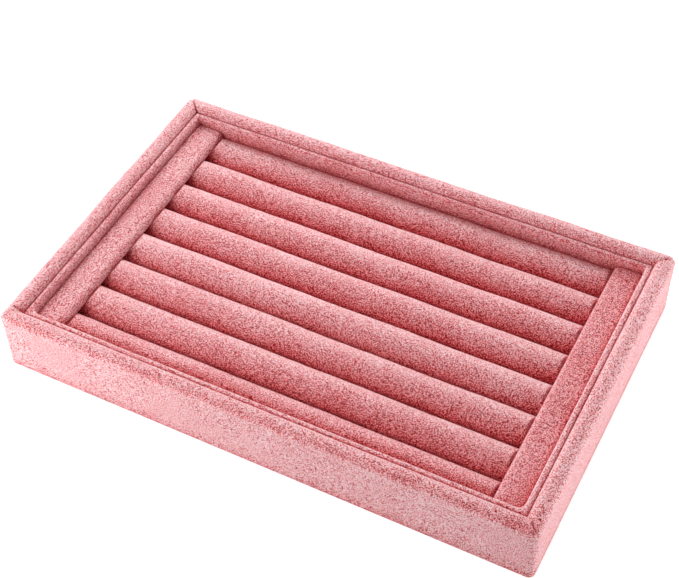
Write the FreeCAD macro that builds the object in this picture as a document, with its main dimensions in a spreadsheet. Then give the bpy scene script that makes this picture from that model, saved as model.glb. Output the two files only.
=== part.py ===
"""Velvet covered jewelry tray with a row of padded rolls, as a parametric document.

Millimetres, +Z up, +X along the tray's length, +Y from front to back.
The origin is the centre of the underside, on the surface that the tray stands on.
"""
import FreeCAD, Part
import enum
import math
import os
import Sketcher

doc = FreeCAD.newDocument("jewelry_tray")

# Driving dimensions, one named cell each
SIZES = {
    # Whole tray, over the velvet
    "tray_length": 230.0,
    "tray_depth": 148.5,
    "tray_height": 28.1,
    # Walls and bottom
    "velvet_thickness": 0.8,
    "rail_thickness": 5.4,
    "panel_thickness": 2.5,
    "top_edge_radius": 2.6,
    "top_flat": 0.6,
    "bottom_edge_radius": 0.5,
    "corner_radius": 2.8,
    "hem_width": 10.0,
    "hem_gap": 0.5,
    # Velvet covered card strips that stand inside the walls
    "liner_card_thickness": 1.4,
    "liner_velvet_thickness": 0.7,
    "liner_drop": 1.6,
    "liner_edge_radius": 1.2,
    # Insert: board, end bars and rolls
    "board_thickness": 1.2,
    "soft_gap": 0.2,
    "bar_width": 12.1,
    "bar_height": 18.3,
    "bar_thickness": 3.2,
    "bar_crown": 0.5,
    "bar_roll_edge_radius": 2.0,
    "bar_liner_edge_radius": 1.1,
    "roll_side_press": 0.07,
    "roll_base_press": 0.15,
    "roll_liner_press": 2.7,
}
ROLL_COUNT = 8

sizes = doc.addObject("Spreadsheet::Sheet", "Sizes")
for row, (alias, number) in enumerate(SIZES.items(), start=1):
    sizes.set(f"A{row}", alias)
    sizes.set(f"B{row}", str(number))
    sizes.setAlias(f"B{row}", alias)
doc.recompute()

# Derived sizes, as expressions on the cells
VELVET = "Sizes.velvet_thickness"
LINING = "Sizes.liner_velvet_thickness"
GAP = "Sizes.soft_gap"
WALL = f"(Sizes.rail_thickness + 2 * {VELVET})"
TOP_INNER_EDGE = f"({WALL} - Sizes.top_edge_radius - Sizes.top_flat)"
LINER = f"(Sizes.liner_card_thickness + 2 * {LINING})"
PANEL_TOP = f"({VELVET} + Sizes.panel_thickness)"
BOARD_TOP = f"({PANEL_TOP} + Sizes.board_thickness)"
RAIL_HEIGHT = f"(Sizes.tray_height - {VELVET} - {PANEL_TOP})"
LINER_HEIGHT = f"(Sizes.tray_height - Sizes.liner_drop - {PANEL_TOP})"
INSERT_LENGTH = f"(Sizes.tray_length - 2 * ({WALL} + {LINER} + {GAP}))"
INSERT_DEPTH = f"(Sizes.tray_depth - 2 * ({WALL} + {LINER} + {GAP}))"
BAR_MIDDLE = f"(({INSERT_LENGTH} - Sizes.bar_width) / 2)"
BAR_BASE = f"({BOARD_TOP} + Sizes.bar_height - Sizes.bar_thickness)"
ROLL_PITCH = f"(({INSERT_DEPTH} + 2 * Sizes.roll_liner_press) / {ROLL_COUNT})"
ROLL_RADIUS = f"({ROLL_PITCH} / 2 + Sizes.roll_side_press)"
ROLL_BASE = f"({ROLL_RADIUS} - Sizes.roll_base_press)"
ROLL_SIDE = f"(({ROLL_PITCH} - {GAP}) / 2)"
ROLL_LINER_SIDE = f"({ROLL_PITCH} / 2 - Sizes.roll_liner_press)"

# The four sides, each a quarter turn on from the last: its length, and the tray's size across it
SIDES = {
    "front": ("Sizes.tray_length", "Sizes.tray_depth"),
    "right": ("Sizes.tray_depth", "Sizes.tray_length"),
    "back": ("Sizes.tray_length", "Sizes.tray_depth"),
    "left": ("Sizes.tray_depth", "Sizes.tray_length"),
}

# The two ends of the insert, and which way along X each one lies
ENDS = {"left": -1, "right": 1}

# Points of a sketched curve and axes of a sketch, as constraints number them
START, END, CENTRE = enum.IntEnum("Point", "START END CENTRE")
UPRIGHT_AXIS, LEVEL_AXIS = enum.IntEnum("Axis", "UPRIGHT LEVEL", start=-2)
ORIGIN_POINT = (LEVEL_AXIS, START)

nodes = []


def value(expression):
    """The present value of an expression, for a sketch's first guess and for finding edges."""
    return float(sizes.evalExpression(expression.replace("Sizes.", "")))


def new_body(label):
    body = doc.addObject("PartDesign::Body", label)
    body.Label = label
    return body


def new_sketch(body, plane, level="0"):
    """A sketch on one of the body's own planes, raised along the plane's normal to level."""
    sketch = body.newObject("Sketcher::SketchObject", f"{body.Name}_sketch")
    support = [item for item in body.Origin.OriginFeatures if item.Role == plane]
    sketch.AttachmentSupport = [(support[0], "")]
    sketch.MapMode = "FlatFace"
    sketch.setExpression("AttachmentOffset.Base.z", level)
    return sketch


def bind(sketch, name, kind, places, expression):
    """A named dimension of a sketch, driven by an expression."""
    number = sketch.addConstraint(Sketcher.Constraint(kind, *places, value(expression)))
    sketch.renameConstraint(number, name)
    sketch.setExpression(f"Constraints.{name}", expression)


def join_ends(sketch, count):
    """Joins the end of each of the first count curves to the start of the next one, all round."""
    for number in range(count):
        following = (number + 1) % count
        sketch.addConstraint(Sketcher.Constraint("Coincident", number, END, following, START))


def add_lines(sketch, corners):
    """Straight lines through the corners, closed."""
    points = [FreeCAD.Vector(x, y, 0) for x, y in corners]
    for point, following in zip(points, points[1:] + points[:1]):
        sketch.addGeometry(Part.LineSegment(point, following))
    join_ends(sketch, len(points))


def add_arc(sketch, centre, radius, first, last):
    circle = Part.Circle(FreeCAD.Vector(*centre, 0), FreeCAD.Vector(0, 0, 1), radius)
    return sketch.addGeometry(Part.ArcOfCircle(circle, first, last))


def pad(body, sketch, length, symmetric=False):
    feature = body.newObject("PartDesign::Pad", f"{body.Name}_pad")
    feature.Profile = sketch
    feature.SideType = "Symmetric" if symmetric else "One side"
    feature.setExpression("Length", length)
    return feature


def round_edges(body, feature, radius, chosen):
    """Rounds the edges of a feature that the chosen test accepts."""
    doc.recompute()
    names = [f"Edge{i}" for i, edge in enumerate(feature.Shape.Edges, start=1) if chosen(edge)]
    fillet = body.newObject("PartDesign::Fillet", f"{body.Name}_round")
    fillet.Base = (feature, names)
    fillet.setExpression("Radius", radius)
    return fillet


def same(first, second):
    return math.isclose(first, second, abs_tol=Part.Precision.confusion())


def lies_along(edge, direction):
    """True for a straight edge that runs along the direction."""
    if not isinstance(edge.Curve, Part.Line):
        return False
    return same(abs(edge.Curve.Direction.dot(direction)), 1)


def at_height(edge, height):
    return all(same(vertex.Z, height) for vertex in edge.Vertexes)


def mitred_plan(sketch, span, reach, width, radius=None):
    """Plan of one side of a rectangle, cut to 45 degrees at both ends.

    The side lies in front of the origin: span is its outer length and reach the distance to its
    outer edge. With a radius, each outer corner is half of a rounded corner.
    """
    outer = value(span) / 2
    inner = outer - value(width)
    front = -value(reach)
    back = front + value(width)
    if radius is None:
        add_lines(sketch, [(-outer, front), (outer, front), (inner, back), (-inner, back)])
        face, inside = 0, 2
        bind(sketch, "half_span", "DistanceX", (*ORIGIN_POINT, face, END), f"{span} / 2")
    else:
        bend = value(radius)
        turn = outer - bend
        tip = bend * math.sqrt(0.5)
        middle = front + bend
        add = sketch.addGeometry
        point = FreeCAD.Vector
        face = add(Part.LineSegment(point(-turn, front, 0), point(turn, front, 0)))
        right = add_arc(sketch, (turn, middle), bend, -math.pi / 2, -math.pi / 4)
        right_mitre = add(Part.LineSegment(point(turn + tip, middle - tip, 0), point(inner, back, 0)))
        inside = add(Part.LineSegment(point(inner, back, 0), point(-inner, back, 0)))
        left_mitre = add(Part.LineSegment(point(-inner, back, 0), point(-turn - tip, middle - tip, 0)))
        left = add_arc(sketch, (-turn, middle), bend, -3 * math.pi / 4, -math.pi / 2)
        sketch.addConstraint(Sketcher.Constraint("Tangent", face, END, right, START))
        sketch.addConstraint(Sketcher.Constraint("Tangent", left, END, face, START))
        run = (right, right_mitre, inside, left_mitre, left)
        for curve, following in zip(run, run[1:]):
            sketch.addConstraint(Sketcher.Constraint("Coincident", curve, END, following, START))
        sketch.addConstraint(Sketcher.Constraint("PointOnObject", right, CENTRE, right_mitre))
        sketch.addConstraint(Sketcher.Constraint("PointOnObject", left, CENTRE, left_mitre))
        sketch.addConstraint(Sketcher.Constraint("Equal", right, left))
        bind(sketch, "corner", "Radius", (right,), radius)
        bind(sketch, "half_span", "DistanceX", (*ORIGIN_POINT, right, CENTRE), f"{span} / 2 - {radius}")
    sketch.addConstraint(Sketcher.Constraint("Symmetric", face, START, face, END, UPRIGHT_AXIS))
    sketch.addConstraint(Sketcher.Constraint("Symmetric", inside, START, inside, END, UPRIGHT_AXIS))
    bind(sketch, "reach", "DistanceY", (face, END, *ORIGIN_POINT), reach)
    bind(sketch, "width", "DistanceY", (face, END, inside, START), width)
    bind(sketch, "inner_half", "DistanceX", (*ORIGIN_POINT, inside, START), f"{span} / 2 - {width}")


def rectangle(sketch, length, depth):
    """A rectangle about the origin."""
    x, y = value(length) / 2, value(depth) / 2
    add_lines(sketch, [(-x, -y), (x, -y), (x, y), (-x, y)])
    for level, upright in ((0, 1), (2, 3)):
        sketch.addConstraint(Sketcher.Constraint("Horizontal", level))
        sketch.addConstraint(Sketcher.Constraint("Vertical", upright))
    sketch.addConstraint(Sketcher.Constraint("Symmetric", 0, START, 2, START, *ORIGIN_POINT))
    bind(sketch, "length", "DistanceX", (0, START, 0, END), length)
    bind(sketch, "depth", "DistanceY", (1, START, 1, END), depth)


def board(label, length, depth, level, thickness, corner=None):
    """A flat sheet about the origin, with its underside at level."""
    body = new_body(label)
    sketch = new_sketch(body, "XY_Plane", level)
    rectangle(sketch, length, depth)
    sheet = pad(body, sketch, thickness)
    if corner:
        upright = FreeCAD.Vector(0, 0, 1)
        round_edges(body, sheet, corner, lambda edge: lies_along(edge, upright))
    nodes.append(body)
    return body


def cut_away(label, block, *tools):
    """The piece that is left of a block once what it covers, or makes room for, is cut away."""
    for number, tool in enumerate(tools, start=1):
        name = label if number == len(tools) else f"{label}_part_{number}"
        piece = doc.addObject("Part::Cut", name)
        piece.Label = name
        piece.Base = block
        piece.Tool = tool
        block = piece
    nodes.append(block)
    return block


def side_strip(label, side, inset, width, level, height, corner, edges, hem=None):
    """One mitred strip of a wall or liner, placed on its side. Edges are its outer and inner top radius."""
    span, reach = SIDES[side]
    span = f"({span} - 2 * {inset})"
    reach = f"({reach} / 2 - {inset})"
    along = FreeCAD.Vector(1, 0, 0)
    low = value(level)
    top = value(f"{level} + {height}")
    front = -value(reach)
    back = front + value(width)
    body = new_body(label)
    plan = new_sketch(body, "XY_Plane", level)
    mitred_plan(plan, span, reach, width, corner)
    strip = pad(body, plan, height)
    if hem:
        hem_plan = new_sketch(body, "XY_Plane", level)
        mitred_plan(hem_plan, span, reach, hem, corner)
        strip = pad(body, hem_plan, VELVET)

    def is_long(rim, place):
        return lies_along(rim, along) and same(rim.Vertexes[0].Y, place)

    def is_outer(rim, height):
        return at_height(rim, height) and (is_long(rim, front) or isinstance(rim.Curve, Part.Circle))

    outer_edge, inner_edge = edges
    strip = round_edges(body, strip, outer_edge, lambda rim: is_outer(rim, top))
    strip = round_edges(body, strip, inner_edge, lambda rim: at_height(rim, top) and is_long(rim, back))
    if hem:
        round_edges(body, strip, "Sizes.bottom_edge_radius", lambda rim: is_outer(rim, low))
    turn = list(SIDES).index(side) * math.degrees(math.pi / 2)
    body.Placement.Rotation = FreeCAD.Rotation(FreeCAD.Vector(0, 0, 1), turn)
    return body


def wall(side, panel):
    """A fibreboard rail on the bottom panel, and the velvet that wraps the rail and turns under."""
    inner_corner = f"(Sizes.corner_radius - {VELVET})"
    rail = side_strip(
        f"{side}_rail",
        side,
        VELVET,
        "Sizes.rail_thickness",
        PANEL_TOP,
        RAIL_HEIGHT,
        inner_corner,
        (f"(Sizes.top_edge_radius - {VELVET})", f"({TOP_INNER_EDGE} - {VELVET})"),
    )
    nodes.append(rail)
    block = side_strip(
        f"{side}_wrap_block",
        side,
        "0",
        WALL,
        "0",
        "Sizes.tray_height",
        "Sizes.corner_radius",
        ("Sizes.top_edge_radius", TOP_INNER_EDGE),
        hem="Sizes.hem_width",
    )
    cut_away(f"{side}_wrap", block, rail, panel)


def liner(side):
    """A card strip against the wall, folded over with thinner velvet."""
    card_height = f"({LINER_HEIGHT} - {LINING})"
    card_edge = f"(Sizes.liner_edge_radius - {LINING})"
    card = side_strip(
        f"{side}_liner_card",
        side,
        f"({WALL} + {LINING})",
        "Sizes.liner_card_thickness",
        PANEL_TOP,
        card_height,
        None,
        (card_edge, card_edge),
    )
    nodes.append(card)
    cover_edge = "Sizes.liner_edge_radius"
    block = side_strip(
        f"{side}_liner_block", side, WALL, LINER, PANEL_TOP, LINER_HEIGHT, None, (cover_edge, cover_edge)
    )
    cut_away(f"{side}_liner_cover", block, card)


def bar_form(label, hand, inset):
    """An end bar with a crowned top, drawn in by inset on its sides and top, on the rolls' ends."""
    body = new_body(label)
    sketch = new_sketch(body, "XZ_Plane")
    width = f"(Sizes.bar_width - 2 * {inset})"
    height = f"(Sizes.bar_thickness - {inset})"
    crest_radius = f"(({width} / 2) ^ 2 + Sizes.bar_crown ^ 2) / (2 * Sizes.bar_crown)"
    half = value(width) / 2
    bend = value(crest_radius)
    shoulder = value(f"{height} - Sizes.bar_crown")
    lean = math.asin(half / bend)
    point = FreeCAD.Vector
    base = sketch.addGeometry(Part.LineSegment(point(-half, 0, 0), point(half, 0, 0)))
    right = sketch.addGeometry(Part.LineSegment(point(half, 0, 0), point(half, shoulder, 0)))
    crest = add_arc(sketch, (0, value(height) - bend), bend, math.pi / 2 - lean, math.pi / 2 + lean)
    left = sketch.addGeometry(Part.LineSegment(point(-half, shoulder, 0), point(-half, 0, 0)))
    join_ends(sketch, left + 1)
    sketch.addConstraint(Sketcher.Constraint("Horizontal", base))
    sketch.addConstraint(Sketcher.Constraint("Vertical", right))
    sketch.addConstraint(Sketcher.Constraint("Vertical", left))
    sketch.addConstraint(Sketcher.Constraint("Symmetric", base, START, base, END, *ORIGIN_POINT))
    sketch.addConstraint(Sketcher.Constraint("PointOnObject", crest, CENTRE, UPRIGHT_AXIS))
    bind(sketch, "width", "DistanceX", (base, START, base, END), width)
    bind(sketch, "shoulder", "DistanceY", (right, START, right, END), f"{height} - Sizes.bar_crown")
    bind(sketch, "crest", "Radius", (crest,), crest_radius)
    form = pad(body, sketch, INSERT_DEPTH, symmetric=True)
    across = FreeCAD.Vector(0, 1, 0)

    def is_shoulder(edge, side):
        on_side = same(edge.Vertexes[0].X, side * half)
        return on_side and lies_along(edge, across) and at_height(edge, shoulder)

    for edge_radius, side in (("bar_roll_edge_radius", -hand), ("bar_liner_edge_radius", hand)):
        radius = f"(Sizes.{edge_radius} - {inset})"
        form = round_edges(body, form, radius, lambda edge: is_shoulder(edge, side))
    body.setExpression("Placement.Base.x", f"{hand} * {BAR_MIDDLE}")
    body.setExpression("Placement.Base.z", BAR_BASE)
    return body


def end_press(label, hand, inset):
    """The space over the rolls' ends that an end bar takes up, grown by inset."""
    body = new_body(label)
    sketch = new_sketch(body, "XY_Plane", f"{BAR_BASE} - {inset}")
    rectangle(sketch, f"2 * (Sizes.bar_width + {GAP} + {inset})", "Sizes.tray_depth")
    pad(body, sketch, f"Sizes.bar_thickness + {inset}")
    body.setExpression("Placement.Base.x", f"{hand} * {INSERT_LENGTH} / 2")
    return body


def end_bar(name, hand):
    """A foam bar across the ends of the rolls, covered in velvet over its sides and top."""
    core = bar_form(f"{name}_bar_core", hand, VELVET)
    nodes.append(core)
    cut_away(f"{name}_bar_cover", bar_form(f"{name}_bar_block", hand, "0"), core)


def roll_form(number, label, inset):
    """A round roll as long as the insert, pressed flat by the board, its neighbours and the liners."""
    front_side = ROLL_LINER_SIDE if number == ROLL_COUNT else ROLL_SIDE
    back_side = ROLL_LINER_SIDE if number == 1 else ROLL_SIDE
    radius = f"({ROLL_RADIUS} - {inset})"
    front = f"({front_side} - {inset})"
    back = f"({back_side} - {inset})"
    base = f"({ROLL_BASE} - {inset})"
    body = new_body(label)
    sketch = new_sketch(body, "YZ_Plane")

    size = value(radius)
    back_angle = math.acos(value(back) / size)
    front_angle = math.acos(value(front) / size)
    base_angle = math.acos(value(base) / size)

    def on_circle(angle):
        return FreeCAD.Vector(size * math.cos(angle), size * math.sin(angle), 0)

    def flat(first, last):
        return sketch.addGeometry(Part.LineSegment(on_circle(first), on_circle(last)))

    def bow(first, last):
        return add_arc(sketch, (0, 0), size, first, last)

    down = 3 * math.pi / 2
    top = bow(back_angle, math.pi - front_angle)
    front_flat = flat(math.pi - front_angle, math.pi + front_angle)
    front_bow = bow(math.pi + front_angle, down - base_angle)
    base_flat = flat(down - base_angle, down + base_angle)
    back_bow = bow(down + base_angle, 2 * math.pi - back_angle)
    back_flat = flat(-back_angle, back_angle)
    join_ends(sketch, 6)
    for arc in (top, front_bow, back_bow):
        sketch.addConstraint(Sketcher.Constraint("Coincident", arc, CENTRE, *ORIGIN_POINT))
    for arc in (front_bow, back_bow):
        sketch.addConstraint(Sketcher.Constraint("Equal", top, arc))
    sketch.addConstraint(Sketcher.Constraint("Vertical", front_flat))
    sketch.addConstraint(Sketcher.Constraint("Vertical", back_flat))
    sketch.addConstraint(Sketcher.Constraint("Horizontal", base_flat))
    bind(sketch, "radius", "Radius", (top,), radius)
    bind(sketch, "front", "DistanceX", (front_flat, START, *ORIGIN_POINT), front)
    bind(sketch, "back", "DistanceX", (*ORIGIN_POINT, back_flat, END), back)
    bind(sketch, "base", "DistanceY", (base_flat, START, *ORIGIN_POINT), base)
    pad(body, sketch, INSERT_LENGTH, symmetric=True)
    places_back = (ROLL_COUNT + 1) / 2 - number
    body.setExpression("Placement.Base.y", f"{places_back} * {ROLL_PITCH}")
    body.setExpression("Placement.Base.z", f"{BOARD_TOP} + {ROLL_BASE}")
    return body


def roll(number, presses, core_presses):
    """A foam roll in its velvet sleeve, pressed down at its ends by the bars. Roll 1 is at the back."""
    filling = roll_form(number, f"roll_filling_{number}", VELVET)
    core = cut_away(f"roll_core_{number}", filling, *core_presses)
    cut_away(f"roll_cover_{number}", roll_form(number, f"roll_block_{number}", "0"), core, *presses)


def bottom():
    """The bottom panel, and the sheet that covers it between the turned-in hems."""
    panel = board(
        "base_panel",
        f"Sizes.tray_length - 2 * {VELVET}",
        f"Sizes.tray_depth - 2 * {VELVET}",
        VELVET,
        "Sizes.panel_thickness",
        corner=f"Sizes.corner_radius - {VELVET}",
    )
    inside_hems = "2 * (Sizes.hem_width + Sizes.hem_gap)"
    board(
        "base_sheet", f"Sizes.tray_length - {inside_hems}", f"Sizes.tray_depth - {inside_hems}", "0", VELVET
    )
    return panel


def check_and_write():
    """Writes the pieces, once every object is sound and every piece is one valid solid."""
    doc.recompute()
    failed = [item.Label for item in doc.Objects if {"Invalid", "Error"} & set(item.State)]
    sketches = [item for item in doc.Objects if item.TypeId == "Sketcher::SketchObject"]
    loose = [sketch.Label for sketch in sketches if not sketch.FullyConstrained]
    if failed or loose:
        raise RuntimeError(f"failed: {failed}, not fully constrained: {loose}")
    for node in nodes:
        shape = node.Shape
        if shape.isNull() or not shape.isValid() or len(shape.Solids) != 1:
            raise RuntimeError(f"{node.Label} isn't one valid solid")
    os.makedirs("parts", exist_ok=True)
    for node in nodes:
        node.Shape.exportStep(f"parts/{node.Label}.step")
        print(f"{node.Label}: {node.Shape.Volume:.1f} mm3")


bottom_panel = bottom()
for side_name in SIDES:
    wall(side_name, bottom_panel)
    liner(side_name)
board("insert_board", INSERT_LENGTH, INSERT_DEPTH, PANEL_TOP, "Sizes.board_thickness")
for end_name, end_hand in ENDS.items():
    end_bar(end_name, end_hand)
bar_spaces = [end_press(f"{end}_press", hand, "0") for end, hand in ENDS.items()]
core_spaces = [end_press(f"{end}_core_press", hand, VELVET) for end, hand in ENDS.items()]
for roll_number in range(1, ROLL_COUNT + 1):
    roll(roll_number, bar_spaces, core_spaces)
check_and_write()
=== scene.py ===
"""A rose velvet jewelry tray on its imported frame: wrapped walls with liners, padded bars and rolls."""

import math

import bmesh
import bpy
import numpy as np
from mathutils import Matrix, Vector


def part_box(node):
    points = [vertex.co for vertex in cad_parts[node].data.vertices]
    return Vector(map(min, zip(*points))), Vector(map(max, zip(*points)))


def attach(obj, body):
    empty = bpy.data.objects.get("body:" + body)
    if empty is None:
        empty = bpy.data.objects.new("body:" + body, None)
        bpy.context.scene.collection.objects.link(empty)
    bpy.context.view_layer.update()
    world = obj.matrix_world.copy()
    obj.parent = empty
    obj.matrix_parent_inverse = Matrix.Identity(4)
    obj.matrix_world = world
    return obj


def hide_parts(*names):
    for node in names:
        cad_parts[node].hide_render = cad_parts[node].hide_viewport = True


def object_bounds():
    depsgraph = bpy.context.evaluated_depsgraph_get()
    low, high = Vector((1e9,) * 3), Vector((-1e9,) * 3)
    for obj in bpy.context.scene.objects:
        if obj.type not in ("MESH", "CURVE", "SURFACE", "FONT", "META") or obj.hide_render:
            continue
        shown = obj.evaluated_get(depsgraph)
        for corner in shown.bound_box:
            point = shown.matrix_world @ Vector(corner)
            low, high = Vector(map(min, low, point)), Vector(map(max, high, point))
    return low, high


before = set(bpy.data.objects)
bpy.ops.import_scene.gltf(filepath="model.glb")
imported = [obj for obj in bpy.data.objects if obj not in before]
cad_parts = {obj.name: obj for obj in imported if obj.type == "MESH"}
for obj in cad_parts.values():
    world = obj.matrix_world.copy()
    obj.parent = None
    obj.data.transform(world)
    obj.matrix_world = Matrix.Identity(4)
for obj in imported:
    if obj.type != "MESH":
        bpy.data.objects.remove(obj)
cad_low, cad_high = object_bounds()

MM = 0.001

# Least values, which keep a division from zero
LEAST_LENGTH = MM * MM
LEAST_SHARE = 0.001

# Sizes read from the frame
wrap_low, wrap_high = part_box("front_wrap")
rail_low, rail_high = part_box("front_rail")
liner_low, liner_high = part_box("front_liner_cover")
card_low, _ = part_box("front_liner_card")
TRAY_LENGTH = cad_high.x - cad_low.x
TRAY_DEPTH = cad_high.y - cad_low.y
TRAY_TOP = cad_high.z
VELVET = rail_low.y - wrap_low.y
PANEL_TOP = rail_low.z
WALL = rail_high.y - rail_low.y + 2 * VELVET
HEM = wrap_high.y - wrap_low.y
LINER = liner_high.y - liner_low.y
LINER_TOP = liner_high.z
LINING = card_low.y - liner_low.y
ROLL_COUNT = sum(name.startswith("roll_cover_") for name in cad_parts)

# Rounded edges and corners of the covered pieces, and how far pads are drawn in and pressed
WALL_OUTER_EDGE = 2.6 * MM
WALL_TOP_FLAT = 0.6 * MM
WALL_INNER_EDGE = WALL - WALL_OUTER_EDGE - WALL_TOP_FLAT
WALL_FOOT = 0.5 * MM
WALL_CORNER = 2.8 * MM
LINER_EDGE = 1.2 * MM
FRONT_LINER_CORNER = 3.0 * MM
BACK_LINER_CORNER = 1.0 * MM
BAR_ROLL_EDGE = 2.0 * MM
BAR_LINER_EDGE = 0.5 * MM
BAR_CROWN = 0.5 * MM
BAR_END = 0.9 * MM
BAR_END_DROP = 0.6 * MM
ROLL_END = 0.3 * MM
PRESS_SLOPE = 1.8 * MM
ROLL_BASE_PRESS = 0.15 * MM

# How even the hand-laid velvet is: long dents and short rucks, each from waves drawn from its own seed
DENT_LENGTH = 42 * MM
DENT_DEPTH = 0.09 * MM
DENT_SEED = 3
RUCK_LENGTH = 7 * MM
RUCK_DEPTH = 0.03 * MM
RUCK_SEED = 5
WAVE_COUNT = 28
DENT_LIMIT = 0.2 * MM

# How far the pile stands up on the walls' tops, where no hand has pressed it down, and the share by
# which it is fuller over their inner edge
STANDING_PILE = 0.6 * MM
INNER_FULLNESS_SHARE = 0.6

# Painted light and shade, set for each piece: above zero its velvet is drawn paler, as where more light
# falls on it, and below zero deeper, as where it lies in shade
PAINTED_LIGHT_BY_PIECE = {
    "front_wall_velvet": 0.05,
    "right_wall_velvet": 0.06,
    "back_wall_velvet": 0.12,
    "left_wall_velvet": 0.06,
    "front_liner_velvet": 0.1,
    "right_liner_velvet": 0.12,
    "right_bar_velvet": -0.11,
    "roll_5_velvet": 0.08,
    "roll_8_velvet": -0.12,
}

# The velvet's pattern: widths in millimetres, how far off another surface still darkens it with painted
# shade, and what each cause of its tone counts for, painted sheen and painted shade among them
TUFT_WIDTH = 0.37
PATCH_WIDTH = 16
SHADING_REACH = 8 * MM
TONE_OFFSET = -0.25
PATCH_WEIGHT = 0.28
PAINTED_SHEEN_WEIGHT = 0.45
PAINTED_SHADE_WEIGHT = 0.65

# Corner creases: how deep and wide, how far down they fade out, and which shares of the wall's width,
# from outside, lie open
CREASE_DEPTH = 0.95 * MM
FAINT_CREASE_DEPTH = 0.15 * MM
CREASE_WIDTH = 0.5 * MM
CREASE_FADE = 5 * MM
OPEN_CREASE_SHARES = {
    "front_left": (0.45, 1.0),
    "front_right": (0.2, 0.55),
    "back_right": (0.0, 0.55),
    "back_left": (0.0, 1.0),
}

# The wall whose velvet ends square against the next wall's at a corner, where the others are mitred
BUTTED_WALLS = {"front_left": "left"}

# Spacing of the mesh: along and across the cloth, from a strip's end, along the foam, and where a bar
# presses a roll. Then the sections that round a pad's end, the points round a roll, and the angle from
# which a fold is kept sharp.
STATION_STEP = 1.6 * MM
SECTION_STEP = 0.9 * MM
END_STEPS = np.array([0, 0.2, 0.4, 0.65, 0.95, 1.3, 1.7, 2.1, 2.5, 2.9, 3.3, 3.8, 4.5, 5.6]) * MM
CORE_STEP = 4 * STATION_STEP
PRESS_STEP = 0.3 * MM
END_SECTIONS = 7
ROLL_POINTS = 44
SHARP_FOLD = math.radians(60)

# Shares of a pad's section to which its velvet closes where it is tucked in at an end
TUCK_SHARES = (0.75, 0.45, 0.15)

# The four sides, each a quarter turn on from the last: its length, the distance to its outer face,
# and the corners at its two ends
SIDES = {
    "front": (TRAY_LENGTH, TRAY_DEPTH / 2, ("front_left", "front_right")),
    "right": (TRAY_DEPTH, TRAY_LENGTH / 2, ("front_right", "back_right")),
    "back": (TRAY_LENGTH, TRAY_DEPTH / 2, ("back_right", "back_left")),
    "left": (TRAY_DEPTH, TRAY_LENGTH / 2, ("back_left", "front_left")),
}


def linear(hex_colour):
    """A written sRGB colour as the linear colour that a shader takes."""
    channels = [int(hex_colour[place : place + 2], 16) / 255 for place in (1, 3, 5)]
    return [c / 12.92 if c <= 0.04045 else ((c + 0.055) / 1.055) ** 2.4 for c in channels] + [1.0]


def per_mm(size):
    """Texture scale at which one cell of a pattern measures size millimetres."""
    return 1 / (size * MM)


def add(tree, kind, inputs=None, **settings):
    """Adds a node with its settings, and sets or links its inputs."""
    node = tree.nodes.new(kind)
    for name, setting in settings.items():
        setattr(node, name, setting)
    for name, given in (inputs or {}).items():
        if isinstance(given, bpy.types.NodeSocket):
            tree.links.new(given, node.inputs[name])
        else:
            node.inputs[name].default_value = given
    return node


def new_material(name):
    """A material with nothing in it yet, its node tree and the piece's own coordinates."""
    material = bpy.data.materials.new(name)
    material.use_nodes = True
    tree = material.node_tree
    tree.nodes.clear()
    place = add(tree, "ShaderNodeTexCoord").outputs["Object"]
    return material, tree, place


def colour_ramp(tree, factor, stops):
    """Colours through (position, hex colour) stops."""
    node = add(tree, "ShaderNodeValToRGB", {"Fac": factor})
    elements = node.color_ramp.elements
    while len(elements) < len(stops):
        elements.new(0.5)
    for element, (position, colour) in zip(elements, stops):
        element.position = position
        element.color = linear(colour)
    return node.outputs["Color"]


def lay_surface(tree, colour, height, strength, depth, shading):
    """The surface of a material: its colour, a bump from its pattern's height, and how it takes light."""
    bump = add(tree, "ShaderNodeBump", {"Height": height, "Strength": strength, "Distance": depth})
    inputs = {"Base Color": colour, "Normal": bump.outputs["Normal"], **shading}
    surface = add(tree, "ShaderNodeBsdfPrincipled", inputs)
    add(tree, "ShaderNodeOutputMaterial", {"Surface": surface.outputs["BSDF"]})


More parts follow.
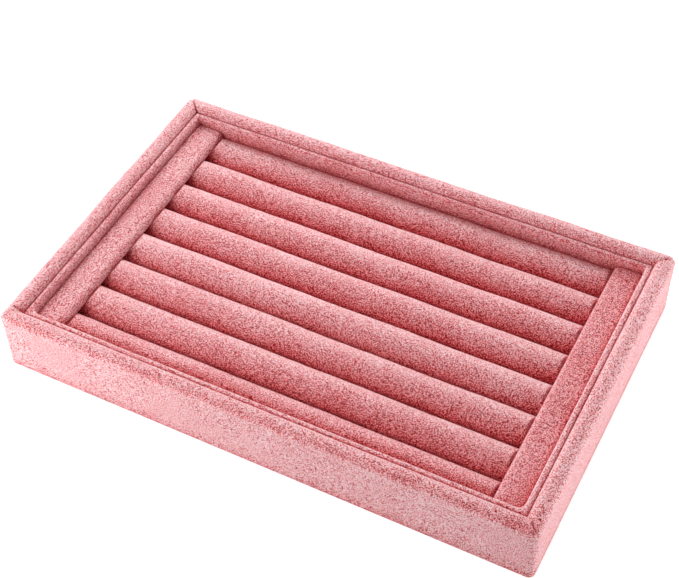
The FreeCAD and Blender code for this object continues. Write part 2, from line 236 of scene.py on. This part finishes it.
def rose_velvet():
    """Cut-pile polyester velvet.

    Deep rose where the eye looks down into the pile, and paler where it looks across the tips: a painted
    sheen, drawn into the colour itself. Painted shade turns it dark maroon where other surfaces lie close,
    in creases and between the rolls, and each piece is drawn paler or deeper by painted light and shade of
    its own. The pile leans this way and that in soft patches, with thin dark gaps between the tufts. The
    tufts are about 0.3 mm wide, and are drawn somewhat coarser so that they show.
    """
    material, tree, place = new_material("rose_velvet")
    tufts = add(
        tree,
        "ShaderNodeTexNoise",
        {"Vector": place, "Scale": per_mm(TUFT_WIDTH), "Detail": 1.0, "Roughness": 0.5, "Distortion": 0.4},
    ).outputs["Fac"]
    gaps = add(
        tree,
        "ShaderNodeMapRange",
        {"Value": tufts, "From Min": 0.36, "From Max": 0.56, "To Min": -0.98, "To Max": 0.18},
    ).outputs["Result"]
    patches = add(
        tree, "ShaderNodeTexNoise", {"Vector": place, "Scale": per_mm(PATCH_WIDTH), "Detail": 1.0}
    ).outputs["Fac"]
    # Painted sheen: the colour is drawn paler where the surface is seen at a slant
    painted_sheen = add(tree, "ShaderNodeLayerWeight", {"Blend": 0.8}).outputs["Facing"]
    # Painted shade: the colour is drawn darker where other surfaces lie close, in creases and between the
    # rolls
    cover = add(tree, "ShaderNodeAmbientOcclusion", {"Distance": SHADING_REACH}, samples=8).outputs["AO"]
    painted_shade_openness = add(
        tree, "ShaderNodeMapRange", {"Value": cover, "From Min": 0.15, "From Max": 0.95}
    ).outputs["Result"]
    # Painted light and shade, set for each piece
    painted_tone_shift = add(tree, "ShaderNodeAttribute", attribute_name="painted_light_and_shade").outputs["Fac"]
    causes = ((patches, PATCH_WEIGHT), (painted_sheen, PAINTED_SHEEN_WEIGHT), (painted_shade_openness, PAINTED_SHADE_WEIGHT), (painted_tone_shift, 1.0))
    tone = add(tree, "ShaderNodeMath", {0: gaps, 1: TONE_OFFSET}, operation="ADD").outputs["Value"]
    for cause, weight in causes:
        terms = {0: cause, 1: weight, 2: tone}
        tone = add(tree, "ShaderNodeMath", terms, operation="MULTIPLY_ADD").outputs["Value"]
    colour = colour_ramp(
        tree,
        tone,
        [
            (0.0, "#7C0A10"),
            (0.15, "#DA343A"),
            (0.3, "#F55F63"),
            (0.5, "#EF868A"),
            (0.7, "#EDB0B4"),
            (1.0, "#F1D6D9"),
        ],
    )
    shading = {
        "Roughness": 0.95,
        "IOR": 1.5,
        "Specular IOR Level": 0.1,
        "Sheen Weight": 0.18,
        "Sheen Roughness": 0.5,
        "Sheen Tint": linear("#FFE2E5"),
    }
    lay_surface(tree, colour, tufts, 0.5, 0.3 * MM, shading)
    return material


def flocked_paper():
    """Flocked paper on the underside: short even fibres, duller and smoother than the velvet."""
    material, tree, place = new_material("flocked_paper")
    fibres = add(
        tree, "ShaderNodeTexNoise", {"Vector": place, "Scale": per_mm(0.6), "Detail": 2.0}
    ).outputs["Fac"]
    colour = colour_ramp(tree, fibres, [(0.35, "#A8525A"), (0.65, "#C06A70")])
    shading = {
        "Roughness": 0.95,
        "Specular IOR Level": 0.2,
        "Sheen Weight": 0.4,
        "Sheen Roughness": 0.5,
        "Sheen Tint": linear("#F4C9CC"),
    }
    lay_surface(tree, colour, fibres, 0.3, 0.1 * MM, shading)
    return material


def fibreboard():
    """Raw medium density fibreboard: pressed wood dust, warm brown with fine pale and dark flecks."""
    material, tree, place = new_material("medium_density_fibreboard")
    flecks = add(
        tree, "ShaderNodeTexNoise", {"Vector": place, "Scale": per_mm(0.8), "Detail": 5.0, "Roughness": 0.7}
    ).outputs["Fac"]
    colour = colour_ramp(tree, flecks, [(0.3, "#7D5B38"), (0.55, "#A5805A"), (0.75, "#BC9A73")])
    lay_surface(tree, colour, flecks, 0.25, 0.1 * MM, {"Roughness": 0.85, "IOR": 1.5})
    return material


def grey_millboard():
    """Grey millboard from waste paper: dull grey with scattered darker and paler fibres."""
    material, tree, place = new_material("grey_millboard")
    fibres = add(
        tree, "ShaderNodeTexNoise", {"Vector": place, "Scale": per_mm(1.2), "Detail": 6.0, "Roughness": 0.75}
    ).outputs["Fac"]
    colour = colour_ramp(tree, fibres, [(0.3, "#7C7873"), (0.5, "#9A968F"), (0.72, "#B2ADA4")])
    lay_surface(tree, colour, fibres, 0.2, 0.05 * MM, {"Roughness": 0.9, "IOR": 1.5})
    return material


def polyurethane_foam():
    """Open cell polyurethane foam: off-white, with small dark pores."""
    material, tree, place = new_material("polyurethane_foam")
    pores = add(tree, "ShaderNodeTexVoronoi", {"Vector": place, "Scale": per_mm(0.9)}).outputs["Distance"]
    colour = colour_ramp(tree, pores, [(0.05, "#B9B199"), (0.35, "#E6E1D0"), (0.8, "#F1EDE0")])
    lay_surface(tree, colour, pores, 0.5, 0.3 * MM, {"Roughness": 0.9, "IOR": 1.45})
    return material


ROSE_VELVET = rose_velvet()
FLOCKED_PAPER = flocked_paper()
FIBREBOARD = fibreboard()
GREY_MILLBOARD = grey_millboard()
FOAM = polyurethane_foam()


def waves(places, length, seed):
    """Smooth noise of about unit height: many waves of one length, in directions drawn from the seed."""
    draw = np.random.default_rng(seed)
    directions = draw.normal(size=(WAVE_COUNT, 3))
    directions *= 2 * math.pi / length / np.linalg.norm(directions, axis=1, keepdims=True)
    phases = draw.uniform(0, 2 * math.pi, WAVE_COUNT)
    return np.sin(places @ directions.T + phases).sum(axis=-1) * math.sqrt(2 / WAVE_COUNT)


def unevenness(places):
    """How far hand-laid cloth stands out from its true form, at each place."""
    dents = DENT_DEPTH * waves(places, DENT_LENGTH, DENT_SEED)
    rucks = RUCK_DEPTH * waves(places, RUCK_LENGTH, RUCK_SEED)
    return np.clip(dents + rucks, -DENT_LIMIT, DENT_LIMIT)


def turned(direction, angle):
    """A direction in a plane, turned to the left."""
    c, s = math.cos(angle), math.sin(angle)
    return np.array([c * direction[0] - s * direction[1], s * direction[0] + c * direction[1]])


def rounded_line(corners, radii):
    """Points and outward normals along a line through corners, each inner corner rounded to its radius.

    The line turns left at every corner, and its outside is on the right hand. The points lie twice as
    close together round a corner.
    """
    corners = np.array(corners, float)
    points, normals = [], []
    start = corners[0]
    for number, (corner, radius) in enumerate(zip(corners[1:], [*radii, 0]), start=1):
        ahead = corner - corners[number - 1]
        ahead /= np.linalg.norm(ahead)
        right = np.array([ahead[1], -ahead[0]])
        turn = 0.0
        if radius:
            following = corners[number + 1] - corner
            turn = math.atan2(ahead[0] * following[1] - ahead[1] * following[0], ahead @ following)
        end = corner - ahead * radius * math.tan(turn / 2)
        count = max(1, math.ceil(np.linalg.norm(end - start) / SECTION_STEP))
        for share in np.arange(count) / count:
            points.append(start + (end - start) * share)
            normals.append(right)
        centre = end - right * radius
        count = math.ceil(2 * radius * turn / SECTION_STEP)
        for share in np.arange(count) / max(count, 1):
            normals.append(turned(right, turn * share))
            points.append(centre + radius * normals[-1])
        start = centre + radius * turned(right, turn)
    points.append(corners[-1])
    normals.append(right)
    return np.array(points), np.array(normals)


def end_to_end(length):
    """Stations from -1 to 1 along a strip, closer together near its ends."""
    half = length / 2
    near = half - END_STEPS
    count = math.ceil(2 * near[-1] / STATION_STEP)
    middle = np.linspace(-near[-1], near[-1], count + 1)[1:-1]
    return np.concatenate([-near, middle, near[::-1]]) / half


def along_side(side, offsets, stations, bends):
    """Places in plan, and inward directions, of points at offsets from the outer face of one side.

    The points run to the mitre at each end, and go round the corner there on an arc of the bend's radius.
    The distances of each point from the side's end and from its outer face come last.
    """
    span, reach, _ = SIDES[side]
    hand = np.sign(stations)[:, None]
    radius = np.where(hand < 0, bends[0](offsets), bends[1](offsets))
    straight = span / 2 - offsets - radius
    path = np.abs(stations)[:, None] * (straight + radius * math.pi / 4)
    angle = np.where(radius > 0, (path - straight) / np.maximum(radius, LEAST_LENGTH), 0)
    angle = np.clip(angle, 0, math.pi / 4)
    x = hand * (np.minimum(path, straight) + radius * np.sin(angle))
    inset = offsets + radius * (1 - np.cos(angle))
    inward = np.stack([-hand * np.sin(angle), np.cos(angle)], axis=-1)
    quarter_turn = np.array([[0, 1], [-1, 0]])
    spin = np.linalg.matrix_power(quarter_turn, list(SIDES).index(side))
    return np.stack([x, inset - reach], axis=-1) @ spin, inward @ spin, span / 2 - np.abs(x), inset


def strip_layers(side, section, normals, thickness, bends, pile, creases):
    """Outer and inner layer of cloth on one side, as grids of stations by section points.

    The pile is how far it stands up along the section. Creases are the depths of the corner creases
    along the section, at the side's two ends. Cloth that lies against a neighbour is even.
    """
    stations = end_to_end(SIDES[side][0])
    crease = np.where(stations[:, None] < 0, creases[0][None, :], creases[1][None, :])
    butted = [BUTTED_WALLS.get(corner) == side for corner in SIDES[side][2]]
    butted = np.where(stations[:, None] < 0, *butted)
    laid = np.where(section[:, 0] < WALL / 2, 1, np.clip(normals[:, 1], 0, 1))
    layers = []
    for depth in (0, thickness):
        offsets, heights = (section - depth * normals).T
        plan, inward, to_end, inset = along_side(side, offsets[None, :], stations, bends)
        heights = np.broadcast_to(heights[None, :, None], plan.shape[:2] + (1,))
        rise = np.broadcast_to(normals[:, 1][None, :, None], heights.shape)
        places = np.concatenate([plan, heights], axis=-1)
        out = np.concatenate([inward * normals[:, 0][None, :, None], rise], axis=-1)
        if depth == 0:
            to_crease = np.where(butted, to_end - WALL, (to_end - inset) / math.sqrt(2))
            pinch = crease * np.exp(-((to_crease / CREASE_WIDTH) ** 2))
            free = laid * np.clip((heights[..., 0] - VELVET) / HEM, 0, 1)
            places = places + out * (pile + unevenness(places) * free - pinch)[..., None]
        layers.append(places)
    return layers


def mesh_piece(name, places, faces, material):
    """An object from places and faces: normals outward, folds kept sharp, with its set painted light and
    shade.
    """
    mesh = bpy.data.meshes.new(name)
    mesh.from_pydata(places.tolist(), [], [list(face) for face in faces])
    shape = bmesh.new()
    shape.from_mesh(mesh)
    bmesh.ops.recalc_face_normals(shape, faces=shape.faces)
    shape.to_mesh(mesh)
    shape.free()
    mesh.shade_smooth()
    mesh.set_sharp_from_angle(angle=SHARP_FOLD)
    # Painted light and shade: each listed piece's tone is shifted paler or deeper
    if name in PAINTED_LIGHT_BY_PIECE:
        painted_tone_shift = mesh.attributes.new("painted_light_and_shade", "FLOAT", "POINT")
        painted_tone_shift.data.foreach_set("value", np.full(len(places), PAINTED_LIGHT_BY_PIECE[name], np.float32))
    mesh.materials.append(material)
    piece = bpy.data.objects.new(name, mesh)
    bpy.context.scene.collection.objects.link(piece)
    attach(piece, "root")
    return piece


def quads(grid):
    """The four-sided faces of a grid of point numbers."""
    return np.stack([grid[:-1, :-1], grid[1:, :-1], grid[1:, 1:], grid[:-1, 1:]], axis=-1).reshape(-1, 4)


def cloth_piece(name, outer, inner, material, tube=False):
    """A piece of cloth with its thickness: two layers joined along their edges."""
    rows, columns = outer.shape[:2]
    top = np.arange(rows * columns).reshape(rows, columns)
    if tube:
        top = np.column_stack([top, top[:, :1]])
    under = top + rows * columns
    edges = [(top[0], under[0]), (top[-1], under[-1])]
    if not tube:
        edges += [(top[:, 0], under[:, 0]), (top[:, -1], under[:, -1])]
    faces = [quads(top), quads(under)] + [quads(np.stack(pair)) for pair in edges]
    places = np.concatenate([outer.reshape(-1, 3), inner.reshape(-1, 3)])
    return mesh_piece(name, places, np.concatenate(faces), material)


def solid_piece(name, grid, material):
    """A solid whose sections close on themselves, with a flat face at each end."""
    rows, columns = grid.shape[:2]
    top = np.arange(rows * columns).reshape(rows, columns)
    faces = quads(np.column_stack([top, top[:, :1]])).tolist() + [top[0].tolist(), top[-1].tolist()]
    return mesh_piece(name, grid.reshape(-1, 3), faces, material)


def corner_crease(side, corner, section):
    """Depth of a wall's crease at one corner, along its section: open on part of the top, else faint."""
    if BUTTED_WALLS.get(corner, side) != side:
        return np.zeros(len(section))
    first, last = OPEN_CREASE_SHARES[corner]
    share = section[:, 0] / WALL
    near_top = np.clip(1 - (TRAY_TOP - section[:, 1]) / CREASE_FADE, 0, 1)
    depth = np.where((share >= first) & (share <= last), CREASE_DEPTH, FAINT_CREASE_DEPTH)
    return depth * near_top


def standing_pile(section, normals):
    """How far the pile stands up along a wall's section.

    It is fullest over the inner edge, and gives way smoothly where the liner leaves it less room.
    """
    inward, upward = np.clip(normals, 0, 1).T
    pile = STANDING_PILE * np.sqrt(upward) * (1 + INNER_FULLNESS_SHARE * inward)
    room = (WALL - section[:, 0]) / np.maximum(inward, LEAST_SHARE)
    return pile * room / np.maximum(np.cbrt(pile**3 + room**3), LEAST_LENGTH)


def wall_bend(offsets):
    """Corner radius of the wall's velvet, less towards the inside."""
    return np.maximum(WALL_CORNER - offsets, 0)


def wall_wrap(side):
    """Velvet over one wall: up its inside, over the top, down the outside and turned under in a hem."""
    length, _, corners = SIDES[side]
    section, normals = rounded_line(
        [(WALL, PANEL_TOP), (WALL, TRAY_TOP), (0, TRAY_TOP), (0, 0), (HEM, 0)],
        [WALL_INNER_EDGE, WALL_OUTER_EDGE, WALL_FOOT],
    )
    creases = [corner_crease(side, corner, section) for corner in corners]
    pile = standing_pile(section, normals)
    outer, inner = strip_layers(side, section, normals, VELVET, (wall_bend, wall_bend), pile, creases)
    piece = cloth_piece(f"{side}_wall_velvet", outer, inner, ROSE_VELVET)
    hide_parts(f"{side}_wrap")


def liner_bend(corner):
    """Bend of a liner's corner: sharp against the wall, rounded on the inside."""
    radius = FRONT_LINER_CORNER if corner.startswith("front") else BACK_LINER_CORNER
    return lambda offsets: radius * np.clip((offsets - WALL) / LINER, 0, 1)


def liner_velvet(side):
    """Thinner velvet folded over the card strip inside one wall."""
    length, _, corners = SIDES[side]
    section, normals = rounded_line(
        [(WALL + LINER, PANEL_TOP), (WALL + LINER, LINER_TOP), (WALL, LINER_TOP), (WALL, PANEL_TOP)],
        [LINER_EDGE, LINER_EDGE],
    )
    even = np.zeros(len(section))
    bends = [liner_bend(corner) for corner in corners]
    outer, inner = strip_layers(side, section, normals, LINING, bends, even, (even, even))
    piece = cloth_piece(f"{side}_liner_velvet", outer, inner, ROSE_VELVET)
    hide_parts(f"{side}_liner_cover")


def drawn_in(section, middle, half, shrink, tuck, run):
    """A grid of sections along a pad: rounded towards both ends and, where tucked, closed towards the middle.

    The rounding draws the section in by shrink, across and up. The run is where the sections between the
    two ends stand. Places are (along, across, up).
    """
    shrink = np.array(shrink)
    depth = shrink.max()
    share = shrink / np.abs(section - middle).max(axis=0)
    slope = np.linspace(0, math.pi / 2, END_SECTIONS)
    ends = [(half - depth * (1 - math.sin(angle)), 1 - share * (1 - math.cos(angle))) for angle in slope]
    ends += [(half, ends[-1][1] * closing) for closing in tuck]
    stations = [(-place, size) for place, size in reversed(ends)] + [(place, 1.0) for place in run] + ends
    grid = np.empty((len(stations), len(section), 3))
    for number, (place, size) in enumerate(stations):
        grid[number, :, 0] = place
        grid[number, :, 1:] = middle + (section - middle) * size
    return grid


def spread(first, last, step):
    """Even places from first up to last, about a step apart."""
    return np.linspace(first, last, math.ceil((last - first) / step) + 1)


def end_bar(name):
    """A foam bar across the rolls' ends and the velvet over it, tucked in at its two ends."""
    low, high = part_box(f"{name}_bar_cover")
    _, core_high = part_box(f"{name}_bar_core")
    centre = (low + high) / 2
    half_width, half_length = (high.x - low.x) / 2, (high.y - low.y) / 2
    shoulder = high.z - BAR_CROWN
    thickness = high.z - core_high.z
    edges = [BAR_LINER_EDGE, BAR_ROLL_EDGE] if centre.x > 0 else [BAR_ROLL_EDGE, BAR_LINER_EDGE]
    section, normals = rounded_line(
        [(half_width, low.z), (half_width, shoulder), (-half_width, shoulder), (-half_width, low.z)], edges
    )
    foot = np.array([0, low.z])

    def crowned(line):
        """Raises the top of a section to its crown, which falls away only on the rolls' side."""
        top = line[:, 1] > shoulder - BAR_ROLL_EDGE
        to_rolls = np.clip(-math.copysign(1, centre.x) * line[:, 0] / half_width, 0, 1)
        return line + np.column_stack([0 * top, BAR_CROWN * (1 - to_rolls**2) * top])

    def placed(grid):
        """Turns (along, across, up) to the bar's place across the tray."""
        return np.stack([centre.x + grid[..., 1], centre.y + grid[..., 0], grid[..., 2]], axis=-1)

    shrink = (BAR_END, BAR_END_DROP)
    core_line = crowned(section - thickness * normals)
    core_half = half_length - thickness
    run_half = core_half - STATION_STEP
    run = spread(-run_half, run_half, STATION_STEP)
    outer = placed(drawn_in(crowned(section), foot, half_length, shrink, TUCK_SHARES, run))
    inner = placed(drawn_in(core_line, foot, core_half, shrink, TUCK_SHARES, run))
    outer[..., 2] += unevenness(outer) * np.clip(normals[:, 1], 0, 1)
    cover = cloth_piece(f"{name}_bar_velvet", outer, inner, ROSE_VELVET)
    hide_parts(f"{name}_bar_cover")
    core = placed(drawn_in(core_line, foot, core_half, shrink, (), spread(-run_half, run_half, CORE_STEP)))
    core = solid_piece(f"{name}_bar_foam", core, FOAM)
    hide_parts(f"{name}_bar_core")


# The rolls' sizes, read from two that lie side by side, the bar that presses them down, and how sharply
# a roll's round turns into its flats
ROLL_LOW, ROLL_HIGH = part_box("roll_cover_4")
NEXT_ROLL_LOW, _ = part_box("roll_cover_5")
ROLL_PITCH = ROLL_LOW.y - NEXT_ROLL_LOW.y
ROLL_RADIUS = (ROLL_HIGH.z - ROLL_LOW.z + ROLL_BASE_PRESS) / 2
BAR_LOW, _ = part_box("right_bar_cover")
PRESS_SHARPNESS = 40


def roll_run(half, step):
    """Places of the sections along a roll, closest together where the bars press it down."""
    start, stop = BAR_LOW.x - PRESS_SLOPE, BAR_LOW.x
    under = spread(stop, half - step, step)[1:]
    slope = spread(start, stop, PRESS_STEP)
    one_half = np.concatenate([slope, under])
    return np.concatenate([-one_half[::-1], spread(-start, start, step)[1:-1], one_half])


def pressed_down(grid, top, depth):
    """Lowers the top of a roll's ends under the bars, by a short slope before each bar.

    Depth is how far inside the velvet's outer face the grid lies.
    """
    share = np.clip((np.abs(grid[..., 0]) - BAR_LOW.x) / PRESS_SLOPE + 1, 0, 1)
    ceiling = top + DENT_LIMIT - (top + DENT_LIMIT - BAR_LOW.z) * share**2 * (3 - 2 * share)
    grid[..., 2] = np.minimum(grid[..., 2], ceiling - depth)
    return grid


def roll(number):
    """A foam roll in its velvet sleeve, pressed against its neighbours, the liners, board and bars."""
    low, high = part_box(f"roll_cover_{number}")
    _, core_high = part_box(f"roll_core_{number}")
    thickness = high.z - core_high.z
    axis_y = ((ROLL_COUNT + 1) / 2 - number) * ROLL_PITCH
    axis_z = high.z - ROLL_RADIUS
    half = (high.x - low.x) / 2
    angle = np.arange(ROLL_POINTS) / ROLL_POINTS * 2 * math.pi
    normals = np.column_stack([np.cos(angle), np.sin(angle)])

    def pressed(inset):
        """The round section with its flats, drawn in by inset."""
        across, up = normals.T
        flats = ((across, high.y - axis_y), (-across, axis_y - low.y), (-up, axis_z - low.z))
        presses = [(np.maximum(facing, 0) / (gap - inset)) ** PRESS_SHARPNESS for facing, gap in flats]
        inverse = (ROLL_RADIUS - inset) ** -PRESS_SHARPNESS + sum(presses)
        return normals * (inverse ** (-1 / PRESS_SHARPNESS))[:, None]

    def placed(section, length, tuck, run):
        """A grid of sections along the roll, at its place in the row."""
        grid = drawn_in(section, np.zeros(2), length, (ROLL_END, ROLL_END), tuck, run)
        return grid + np.array([0, axis_y, axis_z])

    core_half = half - thickness
    run = roll_run(core_half, STATION_STEP)
    outer = placed(pressed(0), half, TUCK_SHARES, run)
    free = np.clip(2 * normals[:, 1], 0, 1)
    outer[..., 1:] += (unevenness(outer) * free)[..., None] * normals
    outer = pressed_down(outer, high.z, 0)
    inner = pressed_down(placed(pressed(thickness), core_half, TUCK_SHARES, run), high.z, thickness)
    cover = cloth_piece(f"roll_{number}_velvet", outer, inner, ROSE_VELVET, tube=True)
    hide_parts(f"roll_cover_{number}")
    core = placed(pressed(thickness), core_half, (), roll_run(core_half, CORE_STEP))
    core = solid_piece(f"roll_{number}_foam", pressed_down(core, high.z, thickness), FOAM)
    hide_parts(f"roll_core_{number}")


def underside():
    """The flocked sheet that covers the bottom panel between the hems."""
    low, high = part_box("base_sheet")
    along = np.arange(low.x, high.x, CORE_STEP)
    across = np.arange(low.y, high.y, CORE_STEP)
    plan = np.stack(np.meshgrid([*along, high.x], [*across, high.y], indexing="ij"), axis=-1)
    layers = [np.insert(plan, 2, level, axis=-1) for level in (low.z, high.z)]
    piece = cloth_piece("underside_sheet", *layers, FLOCKED_PAPER)
    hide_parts("base_sheet")


def finish_node(name, material):
    """Gives a node that stays as it is the material of the real piece."""
    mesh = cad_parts[name].data
    mesh.materials.clear()
    mesh.materials.append(material)


for side_name in SIDES:
    wall_wrap(side_name)
    liner_velvet(side_name)
    finish_node(f"{side_name}_rail", FIBREBOARD)
    finish_node(f"{side_name}_liner_card", GREY_MILLBOARD)
finish_node("base_panel", FIBREBOARD)
finish_node("insert_board", GREY_MILLBOARD)
for bar_name in ("left", "right"):
    end_bar(bar_name)
for roll_number in range(1, ROLL_COUNT + 1):
    roll(roll_number)
underside()

# The floor's size, and how far below the tray it lies
FLOOR_SIZE = 6
FLOOR_DROP = 0.1 * MM

# Light, as shares of the full light in which a colour looks as it is written. A soft box has its place
# and size, in metres, and its share.
SKY_LEVEL = 0.5
FLOOR_GLOW = 0.7
SOFT_BOXES = {
    "key": ((-0.12, 0.47, 0.27), (0.35, 0.35), 0.80),
    "front_fill": ((-0.40, -0.28, 0.30), (0.35, 0.35), 0.54),
    "front_strip": ((-0.28, -0.25, 0.02), (0.3, 0.04), 0.32),
    "right_strip": ((0.50, 0.05, 0.02), (0.4, 0.04), 0.49),
}

# Camera: where it stands, in degrees and metres, and its lens, in millimetres
CAMERA_AZIMUTH = 28.65
CAMERA_ELEVATION = 47.87
CAMERA_ROLL = -1.86
CAMERA_DISTANCE = 0.5897
CAMERA_AIM = (0.07 * MM, -1.48 * MM, TRAY_TOP)
LENS = 78.18
SENSOR_WIDTH = 36


def floor():
    """A plain pale floor, white to the eye where no shadow falls."""
    bpy.ops.mesh.primitive_plane_add(size=FLOOR_SIZE, location=(0, 0, cad_low.z - FLOOR_DROP))
    plane = bpy.context.object
    plane.name = "floor"
    material, tree, place = new_material("pale_paper")
    fibres = add(tree, "ShaderNodeTexNoise", {"Vector": place, "Scale": per_mm(40)}).outputs["Fac"]
    colour = colour_ramp(tree, fibres, [(0.0, "#DCDBDA"), (1.0, "#E2E1E0")])
    paper = add(
        tree, "ShaderNodeBsdfPrincipled", {"Base Color": colour, "Roughness": 1.0, "Specular IOR Level": 0.0}
    )
    seen = add(tree, "ShaderNodeLightPath").outputs["Is Camera Ray"]
    glow = add(tree, "ShaderNodeMath", {0: seen, 1: FLOOR_GLOW}, operation="MULTIPLY").outputs["Value"]
    light = add(tree, "ShaderNodeEmission", {"Color": linear("#FFFFFF"), "Strength": glow})
    both = add(tree, "ShaderNodeAddShader", {0: paper.outputs["BSDF"], 1: light.outputs["Emission"]})
    add(tree, "ShaderNodeOutputMaterial", {"Surface": both.outputs["Shader"]})
    plane.data.materials.append(material)


def studio_world():
    """Even soft light from all round, with a white background."""
    world = bpy.data.worlds.new("studio")
    bpy.context.scene.world = world
    world.use_nodes = True
    tree = world.node_tree
    tree.nodes.clear()
    seen = add(tree, "ShaderNodeLightPath").outputs
    shown = seen["Is Camera Ray"]
    for ray in ("Is Glossy Ray", "Is Transmission Ray"):
        shown = add(tree, "ShaderNodeMath", {0: shown, 1: seen[ray]}, operation="MAXIMUM").outputs["Value"]
    strength = add(
        tree, "ShaderNodeMapRange", {"Value": shown, "To Min": SKY_LEVEL, "To Max": 1.0}
    ).outputs["Result"]
    sky = add(tree, "ShaderNodeBackground", {"Color": linear("#FFFFFF"), "Strength": strength})
    add(tree, "ShaderNodeOutputWorld", {"Surface": sky.outputs["Background"]})


def soft_box(name, place, size, level):
    """A soft box that faces the tray and gives it that share of full light."""
    lamp = bpy.data.lights.new(name, "AREA")
    lamp.shape = "RECTANGLE"
    lamp.size, lamp.size_y = size
    lamp.energy = level * (math.pi * Vector(place).length) ** 2
    holder = bpy.data.objects.new(name, lamp)
    holder.location = place
    holder.rotation_euler = (-Vector(place)).to_track_quat("-Z", "Y").to_euler()
    bpy.context.scene.collection.objects.link(holder)


def camera():
    """The camera at the photograph's viewing angle."""
    azimuth, elevation = math.radians(CAMERA_AZIMUTH), math.radians(CAMERA_ELEVATION)
    back = Vector((math.sin(azimuth), -math.cos(azimuth), math.tan(elevation))).normalized()
    level = Vector((0, 0, 1)).cross(back).normalized()
    right = Matrix.Rotation(math.radians(CAMERA_ROLL), 3, back) @ level
    turn = Matrix((right, back.cross(right), back)).transposed().to_4x4()
    lens = bpy.data.cameras.new("camera")
    lens.lens = LENS
    lens.sensor_width = SENSOR_WIDTH
    holder = bpy.data.objects.new("camera", lens)
    holder.matrix_world = Matrix.Translation(Vector(CAMERA_AIM) + back * CAMERA_DISTANCE) @ turn
    bpy.context.scene.collection.objects.link(holder)
    bpy.context.scene.camera = holder


floor()
studio_world()
for box_name, settings in SOFT_BOXES.items():
    soft_box(box_name, *settings)
camera()
bpy.context.scene.view_settings.view_transform = "Standard"
